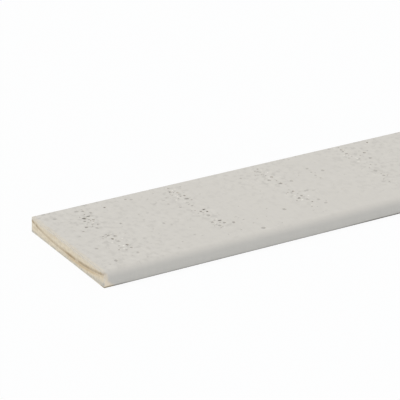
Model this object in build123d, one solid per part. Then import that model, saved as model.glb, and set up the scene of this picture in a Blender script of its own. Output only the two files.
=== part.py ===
# Flat timber cover strip with one rounded long edge, millimetres.
# It lies on its flat back: +X along the length, -Y to the rounded front edge,
# +Z up to the painted face. The origin is the middle of the back face.
import os

from build123d import *

# Driving dimensions
strip_length = 2400.0
strip_width = 70.0
strip_thickness = 8.0
front_edge_radius = 3.5  # rounded show edge, between the face and the front edge
back_arris_radius = 0.3  # crisp long edge at the rear of the face
under_arris_radius = 0.4  # the two long edges that lie against the wall


def section_sketch():
    """The strip's section, looked at along its length, standing on its flat back."""
    front = -strip_width / 2
    back = strip_width / 2
    arrises = [
        ((front, strip_thickness), front_edge_radius),
        ((back, strip_thickness), back_arris_radius),
        ((front, 0), under_arris_radius),
        ((back, 0), under_arris_radius),
    ]
    with BuildSketch(Plane.YZ) as section:
        Rectangle(strip_width, strip_thickness, align=(Align.CENTER, Align.MIN))
        for corner, radius in arrises:
            fillet(section.vertices(Select.ALL).sort_by_distance(corner)[0], radius)
    return section.sketch


def cover_strip():
    """One sawn length: the section run from one square-cut end to the other."""
    return extrude(section_sketch(), amount=strip_length / 2, both=True)


os.makedirs("parts", exist_ok=True)
export_step(cover_strip(), "parts/cover_strip.step")
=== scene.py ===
import math
import random

import bmesh
import bpy
from mathutils import Matrix, Vector, noise


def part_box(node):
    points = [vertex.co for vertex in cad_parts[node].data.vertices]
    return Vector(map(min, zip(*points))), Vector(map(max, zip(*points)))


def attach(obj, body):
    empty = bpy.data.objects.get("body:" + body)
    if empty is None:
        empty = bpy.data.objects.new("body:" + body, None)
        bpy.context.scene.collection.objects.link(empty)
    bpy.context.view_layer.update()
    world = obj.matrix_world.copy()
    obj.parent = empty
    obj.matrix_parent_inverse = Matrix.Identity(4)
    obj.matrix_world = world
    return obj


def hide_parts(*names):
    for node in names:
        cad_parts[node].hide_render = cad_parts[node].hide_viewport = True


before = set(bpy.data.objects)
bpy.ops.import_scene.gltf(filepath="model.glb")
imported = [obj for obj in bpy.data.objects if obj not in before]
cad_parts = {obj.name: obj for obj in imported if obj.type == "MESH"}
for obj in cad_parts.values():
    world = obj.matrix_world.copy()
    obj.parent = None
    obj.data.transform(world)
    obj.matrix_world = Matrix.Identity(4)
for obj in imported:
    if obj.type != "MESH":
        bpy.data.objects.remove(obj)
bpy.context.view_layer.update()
mm = 0.001
tiny = 1e-6
weld = 5e-6  # points closer than this are made one
print("frame loaded:", sorted(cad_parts))


class Wire:  # one node output: sums on wires add Math nodes
    def __init__(self, tree, socket=None):
        self.tree = tree
        self.socket = socket

    # Any other node: its settings first, then the values or links of its sockets
    def add(self, kind, settings=None, sockets=None, out=0):
        node = self.tree.nodes.new(kind)
        for name, value in (settings or {}).items():
            setattr(node, name, value)
        for name, value in (sockets or {}).items():
            if isinstance(value, Wire):
                self.tree.links.new(value.socket, node.inputs[name])
            else:
                node.inputs[name].default_value = value
        return Wire(self.tree, node.outputs[out] if node.outputs else None)

    def calc(self, operation, *values):
        return self.add("ShaderNodeMath", {"operation": operation}, dict(enumerate(values)))

    def __add__(self, other):
        return self.calc("ADD", self, other)

    def __radd__(self, other):
        return self.calc("ADD", other, self)

    def __sub__(self, other):
        return self.calc("SUBTRACT", self, other)

    def __rsub__(self, other):
        return self.calc("SUBTRACT", other, self)

    def __mul__(self, other):
        return self.calc("MULTIPLY", self, other)

    def __rmul__(self, other):
        return self.calc("MULTIPLY", other, self)

    def __truediv__(self, other):
        return self.calc("DIVIDE", self, other)

    def __abs__(self):
        return self.calc("ABSOLUTE", self)


def startMaterial(name):
    material = bpy.data.materials.new(name)
    material.use_nodes = True
    material.node_tree.nodes.clear()
    return material, Wire(material.node_tree)


def endMaterial(tree, shader):
    tree.add("ShaderNodeOutputMaterial", None, {"Surface": shader}, None)


def blend(factor, first, second):
    return factor.add("ShaderNodeMix", {"data_type": "RGBA"}, {0: factor, 6: first, 7: second}, 2)


def dim(colour, shade):
    return shade.add("ShaderNodeVectorMath", {"operation": "SCALE"}, {0: colour, "Scale": shade})


# A soft step from 0 to 1, for wires and for plain numbers
def rise(value, low, high):
    if isinstance(value, Wire):
        settings = {"interpolation_type": "SMOOTHSTEP"}
        return value.add("ShaderNodeMapRange", settings, {0: value, 1: low, 2: high})
    share = min(max((value - low) / (high - low), 0), 1)
    return share * share * (3 - 2 * share)


fine = {"detail": 3.0, "roughness": 0.6}  # noise with crisp small parts


# Noise on stretched Object coordinates: grain is the size of its spots along x, y and z, in millimetres
def speckle(place, grain, detail=2.0, roughness=0.5):
    scale = [1 / (size * mm) for size in grain]
    spread = place.add("ShaderNodeVectorMath", {"operation": "MULTIPLY"}, {0: place, 1: scale})
    sockets = {"Vector": spread, "Scale": 1.0, "Detail": detail, "Roughness": roughness}
    return place.add("ShaderNodeTexNoise", None, sockets)


# The section is the CAD one; the saw left a row of torn grain at every rowPitch
strip = {
    "node": "cover_strip",
    "slot": "painted_softwood",
    "showRadius": 3.5 * mm,  # rounded edge at the front of the face
    "showSteps": 12,
    "rearRadius": 0.3 * mm,
    "underRadius": 0.4 * mm,
    "arrisSteps": 4,
    "firstRow": 21.7 * mm,  # from the shown end
    "rowPitch": 53.0 * mm,
    "crease": 35.0,  # degrees: edges that turn more than this are shaded sharp
}
low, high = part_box(strip["node"])
rowCount = int((high.x - low.x - strip["firstRow"]) / strip["rowPitch"]) + 1
rowLines = [low.x + strip["firstRow"] + n * strip["rowPitch"] for n in range(rowCount)]

# Parts of a face's normal that tell the ends, the underside and the front edge from the rest
facing = {"end": 0.5, "under": -0.9, "front": -0.1}


def isEnd(normal):
    return abs(normal.x) > facing["end"]


def isUnder(normal):
    return normal.z < facing["under"]


def inAll(items, test):
    return [item for item in items if all(test(v.co) for v in item.verts)]


def vertsIn(items):
    return [item for item in items if isinstance(item, bmesh.types.BMVert)]


def sawnBody():
    body = bmesh.new()
    bmesh.ops.create_cube(body, size=1.0)
    bmesh.ops.scale(body, vec=high - low, verts=body.verts)
    bmesh.ops.translate(body, vec=(low + high) / 2, verts=body.verts)
    arrises = (
        (low.y, high.z, "showRadius", "showSteps"),
        (high.y, high.z, "rearRadius", "arrisSteps"),
        (low.y, low.z, "underRadius", "arrisSteps"),
        (high.y, low.z, "underRadius", "arrisSteps"),
    )
    for y, z, radius, steps in arrises:
        edges = inAll(body.edges, lambda co: abs(co.y - y) + abs(co.z - z) < tiny)
        bmesh.ops.bevel(body, geom=edges, offset=strip[radius], segments=strip[steps],
                        profile=0.5, affect="EDGES", material=-1)
    for line in rowLines[:-1]:  # one stretch of the face for each row
        everything = body.verts[:] + body.edges[:] + body.faces[:]
        middle = (line + strip["rowPitch"] / 2, 0, 0)
        bmesh.ops.bisect_plane(body, geom=everything, plane_co=middle, plane_no=(1, 0, 0))
    return body


# Growth rings: the heart of the log is over the face, and each ring sags below it
rings = {
    "gap": 6.6 * mm,
    "sagPlace": 37.0 * mm,  # from the front edge to the lowest point of the shown ring
    "sagHeight": 2.4 * mm,
    "bow": 1.6,  # curve of the ring, per metre
    "steep": 950.0,  # and how it steepens to the two sides, per cubic metre
    "taper": 0.009,  # how the rings climb along the length
    "lateStart": 0.68,  # share of a ring where its dark wood starts
    "lateFull": 0.865,
    "lateEnd": 0.94,  # and where it starts to fade into the next ring
}


# Years grown at a place, for a point of the mesh and for a shader alike
def yearsAt(x, y, z):
    side = y - (low.y + rings["sagPlace"])
    height = rings["sagHeight"] + side * side * (rings["bow"] + side * side * rings["steep"])
    return (height - z + (x - low.x) * rings["taper"]) / rings["gap"]


# 1 in the dark late wood of a ring, 0 in its pale early wood
def lateWood(years):
    if isinstance(years, Wire):
        season = years.calc("FRACT", years)
    else:
        season = years - math.floor(years)
    return rise(season, rings["lateStart"], rings["lateFull"]) * (1 - rise(season, rings["lateEnd"], 1.0))


endCut = {
    "step": 0.5 * mm,  # fineness of the mesh on the two ends
    "earlyDip": 0.07 * mm,  # soft early wood that the saw tore out
    "sawRough": 0.10 * mm,
    "roughGrain": 1.3 * mm,
    "nibble": 0.20 * mm,  # paint and wood broken out along the upper arris
    "nibbleGrain": 2.2 * mm,
    "nibbleRange": (0.0, 0.6),
    "nibbleDown": 0.8 * mm,
    "splitAlong": 9.0 * mm,  # split at the bottom corner of the shown end
    "splitSteps": 6,
    "splitUp": 1.3 * mm,
    "splitDepth": 0.15 * mm,
    "splitGrain": 2.0 * mm,
    "splitVary": (0.8, 0.6),  # share of that depth: its mean, and its change from place to place
}


# Cuts one end into small faces and roughens it, inwards only
def roughenEnd(body, x, inward):
    cap = inAll(body.faces, lambda co: abs(co.x - x) < tiny)
    cap = cap + cap[0].edges[:] + cap[0].verts[:]
    for axis in (1, 2):
        normal = Vector((0, axis == 1, axis == 2))
        count = round((high[axis] - low[axis]) / endCut["step"])
        for n in range(count):
            middle = low + (high - low) * (n + 0.5) / count
            cap = bmesh.ops.bisect_plane(body, geom=cap, plane_co=middle, plane_no=normal)["geom"]
    for v in vertsIn(cap):
        early = 1 - lateWood(yearsAt(v.co.x, v.co.y, v.co.z))
        rough = noise.noise(v.co / endCut["roughGrain"]) * 0.5 + 0.5
        torn = rise(noise.noise(v.co / endCut["nibbleGrain"]), *endCut["nibbleRange"])
        torn = torn * rise(v.co.z, high.z - endCut["nibbleDown"], high.z)
        dip = early * endCut["earlyDip"] + rough * endCut["sawRough"] + torn * endCut["nibble"]
        v.co.x += inward * dip


# Splits a sliver off the lower front arris at the shown end
def splitCorner(body):
    body.normal_update()
    arris = [f for f in body.faces if f.normal.y < facing["front"]]
    arris = [f for f in arris if f.calc_center_bounds().z < high.z / 2]
    arris = [f for f in arris if min(v.co.x for v in f.verts) < low.x + tiny]
    cut = arris + list({item for f in arris for item in f.edges[:] + f.verts[:]})
    for n in range(1, endCut["splitSteps"] + 1):
        place = (low.x + endCut["splitAlong"] * n / endCut["splitSteps"], 0, 0)
        cut = bmesh.ops.bisect_plane(body, geom=cut, plane_co=place, plane_no=(1, 0, 0))["geom"]
    mean, change = endCut["splitVary"]
    for v in vertsIn(cut):
        near = 1 - rise(v.co.x, low.x, low.x + endCut["splitAlong"])
        lowDown = 1 - rise(v.co.z, low.z, low.z + endCut["splitUp"])
        ragged = mean + change * noise.noise(v.co / endCut["splitGrain"])
        v.co.y += endCut["splitDepth"] * near * lowDown * ragged


# Torn grain on the sawn face, in millimetres from the shown end and the front edge.
# The tears near the shown end are listed, the others are drawn at random.
tears = {
    "seed": 11,
    "shade": "pit",  # the mesh attribute: over 0 in a pit, where it paints shade into the hollow, under 0 on a lifted fibre, where it paints a highlight
    "fullDepth": 0.5,
    "shown": (  # along, across, length, width, share of the full depth
        (21.2, 56.0, 2.9, 2.1, 1.0),
        (24.2, 57.2, 2.5, 1.5, 0.8),
        (19.8, 52.9, 2.0, 1.3, 0.5),
        (24.5, 52.7, 1.6, 1.8, 0.6),
        (17.2, 46.8, 2.2, 2.0, 0.6),
        (13.7, 43.5, 1.5, 1.3, 0.5),
        (21.8, 64.7, 2.5, 2.5, 0.3),
        (24.8, 63.5, 2.0, 2.0, 0.4),
        (27.3, 60.2, 1.7, 2.0, 0.3),
        (8.4, 62.1, 2.2, 1.9, 0.3),
        (21.3, 43.7, 2.0, 2.1, 0.3),
        (21.8, 33.8, 2.5, 1.8, 0.5),
        (24.6, 32.0, 2.2, 2.5, 0.4),
        (21.8, 29.8, 2.1, 1.7, 0.9),
        (18.9, 29.4, 2.9, 1.6, 0.3),
        (23.0, 26.0, 2.2, 2.1, 0.3),
        (24.6, 21.0, 1.8, 1.8, 1.0),
        (24.8, 17.5, 1.7, 1.7, 0.6),
        (24.8, 11.3, 2.1, 2.1, 0.3),
        (9.8, 24.2, 2.0, 1.7, 0.4),
        (11.4, 8.8, 2.6, 2.5, 0.4),
        (33.9, 42.7, 1.7, 1.7, 0.4),
        (36.4, 62.3, 1.6, 1.7, 0.8),
        (49.5, 20.5, 2.0, 2.1, 0.3),
        (52.3, 32.9, 1.8, 2.0, 0.3),
        (50.3, 65.5, 1.9, 1.5, 0.4),
        (52.5, 64.0, 2.1, 1.6, 0.3),
        (66.0, 50.6, 1.6, 1.9, 0.3),
        (69.2, 44.7, 2.0, 2.0, 0.3),
        (75.6, 66.4, 1.3, 1.6, 0.5),
        (74.2, 62.2, 2.2, 1.9, 0.6),
        (77.0, 59.9, 1.5, 1.7, 0.8),
        (76.0, 55.8, 1.6, 1.5, 0.5),
        (78.2, 55.3, 1.6, 1.6, 0.8),
        (77.3, 51.6, 2.9, 2.2, 0.5),
        (78.0, 37.0, 2.2, 1.5, 0.9),
        (75.3, 35.6, 2.0, 1.3, 0.7),
        (78.0, 34.1, 1.6, 1.5, 1.0),
        (76.3, 30.1, 2.7, 2.7, 0.4),
        (73.8, 22.6, 2.0, 2.1, 0.5),
        (77.9, 22.7, 2.7, 1.8, 0.8),
        (78.5, 19.5, 2.0, 1.7, 0.6),
        (74.7, 17.7, 2.0, 2.1, 0.4),
        (82.6, 17.6, 2.1, 2.1, 0.5),
        (92.0, 5.4, 2.7, 2.2, 0.4),
        (100.2, 38.3, 1.6, 1.6, 0.5),
        (129.2, 53.6, 1.7, 1.8, 0.8),
        (125.7, 50.5, 2.7, 2.1, 0.4),
        (128.8, 44.8, 2.4, 2.0, 0.6),
        (135.3, 44.7, 2.5, 2.7, 0.3),
        (128.8, 33.7, 1.8, 1.8, 0.8),
        (129.6, 27.4, 1.9, 1.8, 0.6),
        (126.8, 25.6, 2.1, 1.7, 0.7),
        (135.4, 31.4, 3.1, 2.1, 0.3),
        (134.4, 19.8, 2.6, 1.8, 0.3),
        (129.6, 22.4, 2.1, 2.4, 0.3),
        (135.4, 14.8, 2.0, 2.1, 0.3),
        (112.8, 18.3, 2.2, 2.2, 0.4),
        (114.4, 59.6, 1.7, 1.9, 0.3),
        (151.0, 53.5, 2.1, 1.9, 0.3),
        (150.4, 48.8, 1.8, 2.2, 0.3),
        (150.0, 44.5, 1.8, 1.9, 0.3),
        (150.4, 40.6, 1.5, 1.7, 0.3),
        (156.8, 47.9, 2.1, 2.5, 0.3),
        (182.9, 68.4, 3.1, 1.7, 0.8),
        (180.8, 65.0, 2.0, 1.9, 0.5),
        (180.4, 62.6, 1.5, 1.7, 0.5),
        (180.3, 59.6, 2.4, 1.9, 0.5),
        (189.4, 56.2, 2.1, 1.9, 0.6),
        (185.3, 54.3, 1.5, 1.3, 0.4),
        (187.8, 49.1, 2.6, 2.4, 0.4),
        (198.6, 66.5, 1.6, 1.5, 0.9),
        (180.8, 34.9, 2.4, 2.5, 0.3),
        (180.8, 27.8, 2.4, 1.7, 0.4),
        (176.5, 21.8, 4.0, 2.1, 0.2),
    ),
    "shownRows": (  # finer tears between them: from, to, count
        ((60, 46, 14), (36, 26, 12), (22, 16, 4), (12, 8, 1)),
        ((66, 49, 16), (48, 42, 3), (39, 29, 12), (25, 15, 10)),
        ((66, 56, 9), (54, 44, 4), (35, 23, 10), (20, 14, 2)),
        ((69, 57, 8), (57, 48, 4), (44, 20, 8)),
    ),
    "rowPit": {"length": 1.8, "vary": 0.25, "width": (1.2, 1.9), "depth": (0.2, 0.9)},
    "finePit": {"length": 1.3, "vary": 0.3, "width": (0.6, 1.0), "depth": (0.25, 0.7)},
    # level patches where a painted highlight stands for lifted fibres
    "fibreHighlightPatch": {"length": 1.5, "vary": 0.3, "width": (0.7, 1.1), "depth": (-1.0, -0.5)},
    "loosePit": {"length": 1.3, "vary": 0.35, "width": (0.5, 0.8), "depth": (0.1, 0.4)},
    "rowShape": {"sides": 10, "steps": ((0.85, 0.6, 0.85), (0.55, 0.4, 1.0))},
    "looseShape": {"sides": 6, "steps": ((0.5, 1.0, 1.0),)},
    "randomRow": {"clusters": (3, 5), "across": (16, 68), "length": (4, 14), "tears": (3, 8)},
    "place": (0.1, 0.9),  # of a tear, within its share of a cluster
    "rowSpread": 1.8,
    "looseCount": 45,  # in each stretch
    "turn": 9.0,  # degrees off the grain
    "longest": 4.0,
    "ragged": (0.65, 1.15),
    "lean": 0.08,  # how far the bottom of a pit lies off its middle, as a share of its length
    "clear": 0.35,  # how far apart two outlines stay
    "edge": 0.15,  # and how far they stay off the edges of a stretch
}
chance = random.Random(tears["seed"])


# One pit: a ragged rim that is drawn down in steps of (size, depth, shade) and closed at the bottom; the
# shade is painted into the pit's colour
def tearPit(sheet, pit, shape):
    layer = sheet.verts.layers.float[tears["shade"]]
    rim = bmesh.ops.create_circle(sheet, segments=shape["sides"], radius=0.5)["verts"]
    for v in rim:
        v.co *= chance.uniform(*tears["ragged"])
    centre = Vector((pit["x"], pit["y"], high.z))
    place = Matrix.Translation(centre) @ Matrix.Rotation(pit["turn"], 4, "Z")
    place = place @ Matrix.Diagonal((pit["length"], pit["width"], 1, 1))
    bmesh.ops.transform(sheet, matrix=place, verts=rim)
    edges = list({e for v in rim for e in v.link_edges})
    outline = edges
    sink = max(pit["depth"], 0) * tears["fullDepth"] * mm  # a lifted fibre stays level, and only its painted highlight shows it
    lean = chance.uniform(-tears["lean"], tears["lean"]) * pit["length"]
    for e in edges:
        e.smooth = sink == 0
    for size, drop, dark in shape["steps"]:
        grown = bmesh.ops.extrude_edge_only(sheet, edges=edges)["geom"]
        sinking = vertsIn(grown)
        loop = {e for v in sinking for e in v.link_edges}
        edges = [e for e in loop if all(v in sinking for v in e.verts)]
        bmesh.ops.scale(sheet, vec=(size, size, 1), space=Matrix.Translation(-centre), verts=sinking)
        bmesh.ops.translate(sheet, vec=(lean * (1 - size), 0, -drop * sink), verts=sinking)
        for v in sinking:
            v[layer] = dark * pit["depth"]
    bmesh.ops.contextual_create(sheet, geom=edges)
    return outline


# Two ragged ovals that don't touch
def apart(pit, other):
    turned = Matrix.Rotation(-(pit["turn"] + other["turn"]) / 2, 2)
    between = turned @ Vector((pit["x"] - other["x"], pit["y"] - other["y"]))
    along = between.x / (pit["length"] + other["length"])
    across = between.y / (pit["width"] + other["width"])
    return along * along + across * across > tears["clear"]


# Adds a pit to the list where it clears the edges of its stretch and the other pits
def layPit(laid, first, last, along, across, length, width, depth):
    turn = math.radians(chance.gauss(0, tears["turn"]))
    pit = {
        "x": low.x + along * mm,
        "y": low.y + across * mm,
        "length": length * mm,
        "width": width * mm,
        "turn": turn,
        "depth": depth,
    }
    edge = tears["edge"] * mm
    half = tears["ragged"][1] / 2
    reachX = half * (pit["length"] + pit["width"] * abs(math.sin(turn))) + edge
    reachY = half * (pit["width"] + pit["length"] * abs(math.sin(turn))) + edge
    front = low.y + strip["showRadius"] + reachY
    rear = high.y - strip["rearRadius"] - reachY
    inside = first + reachX < pit["x"] < last - reachX and front < pit["y"] < rear
    if inside and all(apart(pit, other) for other in laid):
        laid.append(pit)


def layRandomPit(laid, first, last, along, across, kind):
    length = min(chance.lognormvariate(math.log(kind["length"]), kind["vary"]), tears["longest"])
    width = chance.uniform(*kind["width"])
    depth = chance.uniform(*kind["depth"])
    layPit(laid, first, last, along, across, length, width, depth)


# Clusters of tears for a row drawn at random: from, to, count
def randomClusters():
    row = tears["randomRow"]
    starts = [chance.uniform(*row["across"]) for n in range(chance.randint(*row["clusters"]))]
    clusters = []
    for start in starts:
        end = start - chance.uniform(*row["length"])
        clusters.append((start, end, chance.randint(*row["tears"])))
    return clusters


# All pits of one stretch: hand-set tears, the row, then loose ones between the rows
def layPits(number, first, last):
    laid = []
    for tear in tears["shown"]:
        layPit(laid, first, last, *tear)
    kinds = ["finePit", "fibreHighlightPatch"]
    if number < len(tears["shownRows"]):
        clusters = tears["shownRows"][number]
    else:
        clusters = randomClusters()
        kinds.insert(0, "rowPit")
    row = (rowLines[number] - low.x) / mm
    for kind in kinds:
        for start, end, count in clusters:
            for n in range(count):
                across = start + (end - start) * (n + chance.uniform(*tears["place"])) / count
                along = chance.gauss(row, tears["rowSpread"])
                layRandomPit(laid, first, last, along, across, tears[kind])
    inRow = len(laid)
    for n in range(tears["looseCount"]):
        along = chance.uniform(first - low.x, last - low.x) / mm
        across = chance.uniform(0, high.y - low.y) / mm
        layRandomPit(laid, first, last, along, across, tears["loosePit"])
    return laid[:inRow], laid[inRow:]


# Swaps one stretch of the plain face for a sheet with pits in it
def pitStretch(body, face, number):
    sheet = bmesh.new()
    sheet.verts.layers.float.new(tears["shade"])
    corners = [sheet.verts.new(v.co) for v in face.verts]
    outline = [sheet.edges.new(pair) for pair in zip(corners, corners[1:] + corners[:1])]
    for e in outline:
        e.smooth = False
    places = [v.co.x for v in face.verts]
    rowPits, loosePits = layPits(number, min(places), max(places))
    for pit in rowPits:
        outline += tearPit(sheet, pit, tears["rowShape"])
    for pit in loosePits:
        outline += tearPit(sheet, pit, tears["looseShape"])
    bmesh.ops.triangle_fill(sheet, use_beauty=True, edges=outline, normal=(0, 0, 1))
    bmesh.ops.delete(body, geom=[face], context="FACES_ONLY")
    mesh = bpy.data.meshes.new("stretch")
    sheet.to_mesh(mesh)
    sheet.free()
    body.from_mesh(mesh)
    bpy.data.meshes.remove(mesh)
    return len(rowPits) + len(loosePits)


# The map that the strip is baked on: face and edges unrolled in runs, then the underside, then the ends
bakeMap = {
    "name": "OFBake",
    "pixels": 1024,
    "gap": 4,  # pixels between the islands
    "runs": 5,
    "runScale": (2.03, 1.93),  # pixels per millimetre, along and round the section
    "underScale": (0.42, 1.4),
    "endScale": (6.0, 6.0),
}


# Distance round the section, from the lower front arris over the face to the lower rear one
def roundSection(co):
    across = co.y - low.y
    up = co.z - low.z
    width = high.y - low.y
    height = high.z - low.z
    if across < strip["showRadius"] - tiny:
        if up < strip["underRadius"]:
            return up - across
        return up + across
    if across > width - strip["underRadius"] - tiny:
        if up < strip["underRadius"]:
            return 2 * (width + height) - across - up
        return across + 2 * height - up
    return across + height  # pits are mapped straight down


def mapForBake(body):
    layer = body.loops.layers.uv.new(bakeMap["name"])
    cuts = [low.x] + [line + strip["rowPitch"] / 2 for line in rowLines[:-1]]
    starts = cuts[::math.ceil(len(cuts) / bakeMap["runs"])]
    gap = bakeMap["gap"]
    width = high.y - low.y
    girth = width + 2 * (high.z - low.z) + 2 * strip["underRadius"]
    runTall = girth / mm * bakeMap["runScale"][1] + gap
    underFoot = gap + len(starts) * runTall
    endFoot = underFoot + gap + width / mm * bakeMap["underScale"][1]
    endWide = width / mm * bakeMap["endScale"][0]
    for face in body.faces:
        centre = face.calc_center_bounds()
        run = sum(centre.x > start for start in starts) - 1
        for loop in face.loops:
            co = loop.vert.co
            if isEnd(face.normal):
                scale = bakeMap["endScale"]
                corner = (gap + (gap + endWide if centre.x > 0 else 0), endFoot)
                flat = (co.y - low.y, co.z - low.z)
            elif isUnder(face.normal):
                scale = bakeMap["underScale"]
                corner = (gap, underFoot)
                flat = (co.x - low.x, co.y - low.y)
            else:
                scale = bakeMap["runScale"]
                corner = (gap, gap + run * runTall)
                flat = (co.x - starts[run], roundSection(co) + strip["underRadius"])
            pixel = [corner[n] + flat[n] / mm * scale[n] for n in range(2)]
            loop[layer].uv = [value / bakeMap["pixels"] for value in pixel]


def makeStrip():
    body = sawnBody()
    body.verts.layers.float.new(tears["shade"])
    splitCorner(body)
    roughenEnd(body, low.x, 1)
    roughenEnd(body, high.x, -1)
    stretches = inAll(body.faces, lambda co: abs(co.z - high.z) < tiny)
    stretches.sort(key=lambda face: face.calc_center_bounds().x)
    count = sum(pitStretch(body, face, number) for number, face in enumerate(stretches))
    bmesh.ops.remove_doubles(body, verts=body.verts, dist=weld)
    bmesh.ops.recalc_face_normals(body, faces=body.faces)
    body.normal_update()
    for face in body.faces:
        face.smooth = True
    for e in body.edges:
        if e.calc_face_angle(0) > math.radians(strip["crease"]):
            e.smooth = False
    mapForBake(body)
    openEdges = sum(not e.is_manifold for e in body.edges)
    mesh = bpy.data.meshes.new("sawn_strip")
    body.to_mesh(mesh)
    body.free()
    piece = bpy.data.objects.new("sawn_strip", mesh)
    bpy.context.scene.collection.objects.link(piece)
    mesh.calc_loop_triangles()
    print("strip:", count, "pits,", len(mesh.loop_triangles), "triangles,", openEdges, "open edges")
    return piece


sawnStrip = makeStrip()

# The sizes that end in Grain are those of a noise's spots along x, y and z, in millimetres
softwood = {
    "early": (0.676, 0.603, 0.478, 1),
    "late": (0.375, 0.288, 0.180, 1),
    "lateLeast": 0.85,  # share of that dark between its spots
    "spotGrain": (220, 4, 4),
    "spotRange": (0.35, 0.6),
    "faded": (  # where the late wood is pale, in millimetres from the front edge: from, to, amount
        (2, 15, 0.25),
        (24.5, 27.5, 0.4),
        (36, 64, 0.3),
        (41, 64, 0.35),
        (66, 67.3, 0.7),
    ),
    "fadeEdge": (0.7, 1.3),  # shares of half of such a stretch where it starts and ends
    "wander": 0.4 * mm,  # how far the rings stray from a smooth curve
    "wanderGrain": (220, 9, 9),
    "fibreGrain": (30, 0.5, 0.5),
    "pore": (0.56, 0.46, 0.34, 1),
    "poreRange": (0.5, 0.8),
    "poreShade": 0.5,
    "amber": (0.57, 0.448, 0.285, 1),  # resin just under a ring, in the front half
    "amberDeep": 0.3,  # share of a ring that it fills
    "amberFrom": (3 * mm, 13 * mm),  # paler near the front edge
    "amberLeast": 0.5,
    "amberTo": (28 * mm, 40 * mm),
    "warm": 0.4,  # amber in patches elsewhere
    "warmGrain": (200, 7, 2.5),
    "warmRange": (0.5, 0.75),
    "mottle": 0.5,  # light and dark between the fibres
    "mottleGrain": (60, 1.8, 1.3),
    "freshLitWood": (0.86, 0.755, 0.61, 1),  # where a split opened it, paler wood, lightened further as painted light where the split faces the lamp
    "roughness": 0.75,
    "roughFibre": 0.3,
    "relief": 0.06 * mm,
    "footDark": (0.47, 0.46, 0.42, 1),
    "footDarkGrain": (6, 3, 3),
    "footDarkRange": (0.35, 0.65),
    "footDarkUp": (0.7 * mm, 1.6 * mm),  # a darker grey band along the bottom of the ends
    "footDarkHigher": (0.8 * mm, 1.6 * mm),  # and how much higher it is near the front
    "footDarkFront": (5 * mm, 16 * mm),
    "footDarkAmount": {"all": 0.2, "front": 0.15, "blot": 0.7},
    "footGap": 0.8,  # a lighter line near the front, along its foot, where the band lifts
    "footGapUp": (0.1 * mm, 0.7 * mm),
    "back": 0.05 * mm,  # the underside, up to here, has no dark band
}


# Colour of bare softwood: rings and fibres through the whole thickness
def softwoodColour(place, x, y, z, fibre):
    stray = speckle(place, softwood["wanderGrain"]) - 0.5
    years = yearsAt(x, y, z) + stray * (softwood["wander"] / rings["gap"])
    pores = rise(fibre, *softwood["poreRange"]) * softwood["poreShade"]
    colour = blend(pores, softwood["early"], softwood["pore"])
    amber = 1 - rise(years.calc("FRACT", years), 0.0, softwood["amberDeep"])
    amber = amber * (1 - rise(y - low.y, *softwood["amberTo"]))
    least = softwood["amberLeast"]
    amber = amber * (least + rise(y - low.y, *softwood["amberFrom"]) * (1 - least))
    patch = rise(speckle(place, softwood["warmGrain"]), *softwood["warmRange"]) * softwood["warm"]
    colour = blend(amber.calc("MAXIMUM", amber, patch), colour, softwood["amber"])
    spots = rise(speckle(place, softwood["spotGrain"]), *softwood["spotRange"])
    least = softwood["lateLeast"]
    late = lateWood(years) * (least + spots * (1 - least))
    inner, outer = softwood["fadeEdge"]
    for start, end, amount in softwood["faded"]:
        middle = low.y + (start + end) / 2 * mm
        half = (end - start) / 2 * mm
        late = late * (1 - amount + rise(abs(y - middle), half * inner, half * outer) * amount)
    mottle = speckle(place, softwood["mottleGrain"]) - 0.5
    return dim(blend(late, colour, softwood["late"]), 1 + mottle * softwood["mottle"])


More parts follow.
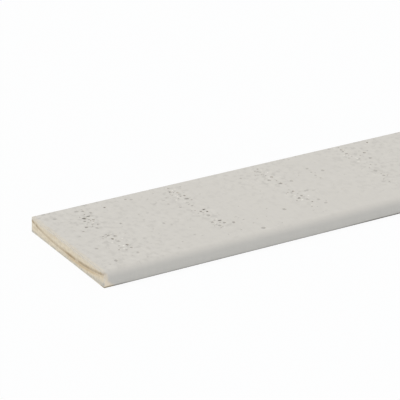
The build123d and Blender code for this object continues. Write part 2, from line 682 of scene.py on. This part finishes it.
paint = {
    "colour": (0.608, 0.592, 0.558, 1),
    "roughness": 0.6,
    "roughCloud": 0.15,
    "roughFleck": 0.1,
    "roughBare": 0.15,
    "relief": 0.06 * mm,
    "cloudGrain": (40, 25, 25),  # light and dark of the coat
    "cloudShade": 0.04,
    "sawnGrain": (1.2, 14, 14),  # lines across it, left by the saw
    "sawnShade": 0.06,
    "woodGrain": (6, 0.45, 0.45),  # and lines along it, of the wood
    "woodShade": 0.06,
    # bare wood at the bottom of the pits, darkened further as painted shade in the hollows
    "pitDarkAndShade": (0.15, 0.14, 0.125, 1),
    "fibreHighlight": 0.35,  # painted highlight: how much lighter it is on lifted fibres
    "faceEdge": (1.2 * mm, 0.2 * mm),  # how far down flecks and nicks reach round the arrises
    "nickEdge": (1.0 * mm, 2.5 * mm),  # nicks along the rear arris of the face
    "nickGrain": (2.5, 30, 30),
    "nickRange": (0.56, 0.70),
    "nick": 0.3,
    "chipGrain": (1.5, 1.5, 1.5),
    "chipEdge": 0.30 * mm,  # bare line along the cut ends
    "thinEdge": 2.2 * mm,  # and thin paint beside it
    "thin": 0.5,
    "split": (1.9 * mm, 2.4 * mm),  # bare split along the front of the shown end, and more at its foot
    "splitUp": (0.3 * mm, 4.5 * mm),
    "splitRagged": 1.2,
    "splitSoft": 0.8,
    "splitBack": (0.4 * mm, 1.5 * mm),
    "splitTop": (3 * mm, 6 * mm),  # it shows less over this height
    "splitLoss": 0.6,
    "smear": 2.2 * mm,  # thin paint that ran over the upper part of the ends
    "smearGrain": (4, 4, 2),
    "smearShade": 0.7,
    "wrap": 1.4 * mm,  # and over their front edge
    "wrapUp": (1.5 * mm, 3 * mm),
    "wrapShade": 0.6,
    # painted shade: the colour of the dark line along the lower arrises
    "footDark": (0.16, 0.15, 0.13, 1),
    "footDarkGrain": (16, 3, 3),
    "splitShadeColour": (0.20, 0.155, 0.075, 1),  # painted shade under the split, browner
    "footDarkUp": (0.25 * mm, 0.75 * mm),  # painted shade: a dark line along the lower arrises
    "shadeSplit": (4 * mm, 6 * mm),  # where it lies in the split, from the shown end
    "shadeNear": (8 * mm, 16 * mm),  # where it is strong
    "shadeFar": (125 * mm, 160 * mm),  # and where it is strong again
    "footDarkAmount": {"all": 0.7, "near": 0.2, "far": 0.3, "split": 0.25, "patch": 0.8},
    "shadeTaller": {"near": 0.25, "far": 0.35, "split": 0.45},
    "fleckGrain": (2.7, 3, 3),
    "darkFleck": (0.50, 0.68),
    "darkShade": 0.12,
    "lightFleck": (0.30, 0.46),
    "lightShade": 0.05,
    "fleckLeast": 0.17,
    "fleckCloud": 0.35,
    "fleckRow": 0.05,  # more of them by the rows of torn grain
    "rowReach": (1.5 * mm, 9 * mm),
    "fleckRange": (0.22, 0.62),
    "patchCore": 0.4,
    "patches": (  # flecked parts of the face: along, across, reach, amount
        (15, 36, 70, 0.12),
        (125, 64, 30, 0.14),
        (195, 48, 50, 0.14),
        (20, 52, 11, 0.25),  # round the tears of the shown rows
        (22, 28, 11, 0.25),
        (76, 59, 9, 0.25),
        (77, 33, 8, 0.25),
        (77, 20, 8, 0.25),
        (128, 53, 10, 0.2),
        (129, 29, 10, 0.2),
        (183, 60, 10, 0.2),
    ),
}


def objectPlace(tree):
    place = tree.add("ShaderNodeTexCoord", None, None, "Object")
    split = {"Vector": place}
    x = tree.add("ShaderNodeSeparateXYZ", None, split, "X")
    y = tree.add("ShaderNodeSeparateXYZ", None, split, "Y")
    z = tree.add("ShaderNodeSeparateXYZ", None, split, "Z")
    return place, x, y, z


# How far a place is from the nearest row of torn grain
def fromRow(x):
    turns = (x - rowLines[0]) / strip["rowPitch"] + 0.5
    return abs(turns.calc("FRACT", turns) - 0.5) * strip["rowPitch"]


# How thick the flecks lie: in clouds, by the rows and in patches
def fleckDensity(place, x, cloud):
    byRow = 1 - rise(fromRow(x), *paint["rowReach"])
    density = cloud * paint["fleckCloud"] + paint["fleckLeast"] + byRow * paint["fleckRow"]
    for along, across, reach, amount in paint["patches"]:
        middle = (low.x + along * mm, low.y + across * mm, high.z)
        ends = {0: place, 1: middle}
        distance = place.add("ShaderNodeVectorMath", {"operation": "DISTANCE"}, ends, "Value")
        density = density + (1 - rise(distance, paint["patchCore"] * reach * mm, reach * mm)) * amount
    return rise(density, *paint["fleckRange"])


# Where the split at the shown end bares the front edge
def bareSplit(x, y, z, ragged):
    least, more = paint["split"]
    reach = least + (1 - rise(z - low.z, *paint["splitUp"])) * more
    edge = ragged * paint["splitRagged"]
    split = 1 - rise((x - low.x) / reach, edge, edge + paint["splitSoft"])
    split = split * (1 - rise(y - low.y, *paint["splitBack"]))
    return split * (1 - rise(z - low.z, *paint["splitTop"]) * paint["splitLoss"])


# Painted shade: a dark line along the lower arrises and under the split, over a colour
def paintedFootShade(place, x, z, colour):
    patch = speckle(place, paint["footDarkGrain"], **fine)
    split = 1 - rise(x - low.x, *paint["shadeSplit"])
    near = (1 - rise(x - low.x, *paint["shadeNear"])) * (1 - split)
    far = rise(x - low.x, *paint["shadeFar"])
    shade = paint["footDarkAmount"]
    strength = shade["all"] + near * shade["near"] + far * shade["far"] + split * shade["split"]
    strength = strength + (patch - 0.5) * shade["patch"]
    more = paint["shadeTaller"]
    taller = 1 + near * more["near"] + far * more["far"] + split * more["split"]
    foot, top = paint["footDarkUp"]
    footDark = (1 - rise(z - low.z, foot * taller, top * taller)) * strength
    return blend(footDark, colour, blend(split, paint["footDark"], paint["splitShadeColour"]))


# Ends a material with a plain shader and fine relief
def closeMaterial(tree, colour, roughness, height, depth):
    bump = {"Strength": 1.0, "Distance": depth, "Height": height}
    normal = tree.add("ShaderNodeBump", None, bump)
    sockets = {"Base Color": colour, "Roughness": roughness, "Normal": normal}
    endMaterial(tree, tree.add("ShaderNodeBsdfPrincipled", None, sockets))


def greyPaint():
    material, tree = startMaterial("grey_paint")
    place, x, y, z = objectPlace(tree)
    fibre = speckle(place, softwood["fibreGrain"], **fine)
    wood = softwoodColour(place, x, y, z, fibre)
    cloud = speckle(place, paint["cloudGrain"], fine["detail"])
    sawn = speckle(place, paint["sawnGrain"], **fine)
    grain = speckle(place, paint["woodGrain"], **fine)
    fleck = speckle(place, paint["fleckGrain"])
    pit = tree.add("ShaderNodeAttribute", {"attribute_name": tears["shade"]}, None, "Fac")
    start, end = paint["faceEdge"]
    onFace = rise(z, high.z - start, high.z - end)
    density = fleckDensity(place, x, cloud) * onFace
    flecks = rise(fleck, *paint["darkFleck"]) * density
    lightFlecks = (1 - rise(fleck, *paint["lightFleck"])) * density
    shade = 1.0 + (cloud - 0.5) * paint["cloudShade"] + (sawn - 0.5) * paint["sawnShade"]
    shade = shade + (grain - 0.5) * paint["woodShade"]
    shade = shade - flecks * paint["darkShade"] + lightFlecks * paint["lightShade"]
    fibreHighlight = pit.calc("MAXIMUM", 0 - pit, 0.0)
    colour = dim(paint["colour"][:3], shade + fibreHighlight * paint["fibreHighlight"])
    # pits: bare bottoms and painted shade in the hollows
    colour = blend(pit.calc("MAXIMUM", pit, 0.0) * (grain + 0.5), colour, paint["pitDarkAndShade"])
    nicks = rise(speckle(place, paint["nickGrain"]), *paint["nickRange"]) * onFace
    nicks = nicks * (1 - rise(high.y - y, *paint["nickEdge"])) * paint["nick"]
    colour = blend(nicks, colour, paint["pitDarkAndShade"])
    ragged = speckle(place, paint["chipGrain"], **fine)
    fromEnd = (high.x - low.x) / 2 - abs(x)
    bare = 1 - rise(fromEnd, 0.0, ragged * (2 * paint["chipEdge"]))
    thin = (1 - rise(fromEnd, 0.0, ragged * (2 * paint["thinEdge"]))) * paint["thin"]
    colour = blend(bare.calc("MAXIMUM", bare, thin), colour, wood)
    # the split: bare wood, with painted light as if it faced the lamp
    colour = blend(bareSplit(x, y, z, ragged), colour, softwood["freshLitWood"])
    # painted shade along the foot of the painted sides
    colour = paintedFootShade(place, x, z, colour)
    roughness = paint["roughness"] + (cloud - 0.5) * paint["roughCloud"]
    roughness = roughness + flecks * paint["roughFleck"] + bare * paint["roughBare"]
    closeMaterial(tree, colour, roughness, sawn * 0.5 + grain * 0.5, paint["relief"])
    return material


def bareSoftwood():
    material, tree = startMaterial("bare_softwood")
    place, x, y, z = objectPlace(tree)
    fibre = speckle(place, softwood["fibreGrain"], **fine)
    wood = softwoodColour(place, x, y, z, fibre)
    ragged = speckle(place, paint["smearGrain"], **fine)
    smear = (1 - rise(high.z - z, 0.0, ragged * (2 * paint["smear"]))) * paint["smearShade"]
    wrap = 1 - rise(y - low.y, 0.0, ragged * (2 * paint["wrap"]))
    wrap = wrap * rise(z - low.z, *paint["wrapUp"]) * paint["wrapShade"]
    wood = blend(smear.calc("MAXIMUM", smear, wrap), wood, paint["colour"])
    # A darker grey band along the foot of the ends
    blot = rise(speckle(place, softwood["footDarkGrain"], **fine), *softwood["footDarkRange"])
    front = 1 - rise(y - low.y, *softwood["footDarkFront"])
    foot, top = softwood["footDarkUp"]
    footMore, topMore = softwood["footDarkHigher"]
    footDark = 1 - rise(z - low.z, foot + front * footMore, top + front * topMore)
    shade = softwood["footDarkAmount"]
    footDark = footDark * (shade["all"] + front * shade["front"] + blot * shade["blot"])
    footDark = footDark * (1 - front * (1 - rise(z - low.z, *softwood["footGapUp"])) * softwood["footGap"])
    footDark = footDark * rise(z - low.z, 0.0, softwood["back"])
    wood = blend(footDark, wood, softwood["footDark"])
    roughness = softwood["roughness"] + (fibre - 0.5) * softwood["roughFibre"]
    closeMaterial(tree, wood, roughness, fibre, softwood["relief"])
    return material


sawnStrip.data.materials.append(greyPaint())
sawnStrip.data.materials.append(bareSoftwood())
for face in sawnStrip.data.polygons:
    cutEnd = isEnd(face.normal) and face.center.z < high.z - tiny
    face.material_index = int(isUnder(face.normal) or cutEnd)  # 0 is painted, 1 is bare
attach(sawnStrip, "root")
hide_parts(strip["node"])
print("strip painted")

# Soft daylight from the left, and a pale floor
studio = {
    "sky": 0.66,
    "sun": 0.40 * math.pi,
    "sunColour": (1.03, 1.0, 0.948),
    "sunFrom": (-0.52, 0.08, 0.85),
    "sunAngle": 50.0,
    "floorColour": (0.85, 0.88, 0.91, 1),
    "floorSize": 30.0,
    "floorWhite": 0.9,  # how far the floor is lifted to white for the camera
}


# 1 for rays that show the background: straight, mirrored or through glass
def seenRay(tree):
    straight = tree.add("ShaderNodeLightPath", None, None, "Is Camera Ray")
    mirrored = tree.add("ShaderNodeLightPath", None, None, "Is Glossy Ray")
    through = tree.add("ShaderNodeLightPath", None, None, "Is Transmission Ray")
    return straight.calc("MINIMUM", straight + mirrored + through, 1.0)


def makeStudio():
    scene = bpy.context.scene
    world = bpy.data.worlds.new("studio_sky")
    world.use_nodes = True
    world.node_tree.nodes.clear()
    tree = Wire(world.node_tree)
    seen = seenRay(tree)
    strength = studio["sky"] + seen * (1 - studio["sky"])
    sky = tree.add("ShaderNodeBackground", None, {"Color": (1, 1, 1, 1), "Strength": strength})
    tree.add("ShaderNodeOutputWorld", None, {"Surface": sky})
    scene.world = world

    lamp = bpy.data.lights.new("soft_sun", "SUN")
    lamp.energy = studio["sun"]
    lamp.color = studio["sunColour"]
    lamp.angle = math.radians(studio["sunAngle"])
    sun = bpy.data.objects.new("soft_sun", lamp)
    sun.rotation_euler = Vector(studio["sunFrom"]).to_track_quat("Z", "Y").to_euler()
    scene.collection.objects.link(sun)

    floor = bmesh.new()
    bmesh.ops.create_grid(floor, x_segments=1, y_segments=1, size=studio["floorSize"] / 2)
    bmesh.ops.translate(floor, vec=(0, 0, low.z), verts=floor.verts)
    mesh = bpy.data.meshes.new("floor")
    floor.to_mesh(mesh)
    floor.free()
    material, tree = startMaterial("pale_floor")
    plain = tree.add("ShaderNodeBsdfDiffuse", None, {"Color": studio["floorColour"]})
    white = tree.add("ShaderNodeEmission", None, {"Color": (1, 1, 1, 1), "Strength": 1.0})
    lift = seenRay(tree) * studio["floorWhite"]
    endMaterial(tree, tree.add("ShaderNodeMixShader", None, {0: lift, 1: plain, 2: white}))
    mesh.materials.append(material)
    piece = bpy.data.objects.new("floor", mesh)
    scene.collection.objects.link(piece)
    scene.view_settings.view_transform = "Standard"
    print("studio lit")


makeStudio()

# Looks at the shown end
camera = {
    "azimuth": -33.289,
    "elevation": 24.592,
    "roll": 1.974,
    "sensor": 36.0,
    "lens": 205.34,
    "depth": 1.05399,  # to the near bottom corner
    "cornerPixel": (104.42, 288.66),  # where that corner is in the picture
    "pictureSize": 400,
}


def makeCamera():
    a = math.radians(camera["azimuth"])
    e = math.radians(camera["elevation"])
    back = Vector((math.sin(a) * math.cos(e), -math.cos(a) * math.cos(e), math.sin(e)))
    level = Vector((math.cos(a), math.sin(a), 0))
    roll = Matrix.Rotation(math.radians(camera["roll"]), 3, back)
    right = roll @ level
    up = roll @ back.cross(level)
    data = bpy.data.cameras.new("camera")
    data.sensor_width = camera["sensor"]
    data.lens = camera["lens"]
    half = camera["pictureSize"] / 2
    perPixel = data.sensor_width / camera["pictureSize"] / data.lens * camera["depth"]
    across = (camera["cornerPixel"][0] - half) * perPixel
    down = (camera["cornerPixel"][1] - half) * perPixel
    corner = Vector((low.x, low.y, low.z))
    spot = corner - right * across + up * down + back * camera["depth"]
    piece = bpy.data.objects.new("camera", data)
    piece.matrix_world = Matrix.Translation(spot) @ Matrix((right, up, back)).transposed().to_4x4()
    bpy.context.scene.collection.objects.link(piece)
    bpy.context.scene.camera = piece
    print("camera set")


makeCamera()
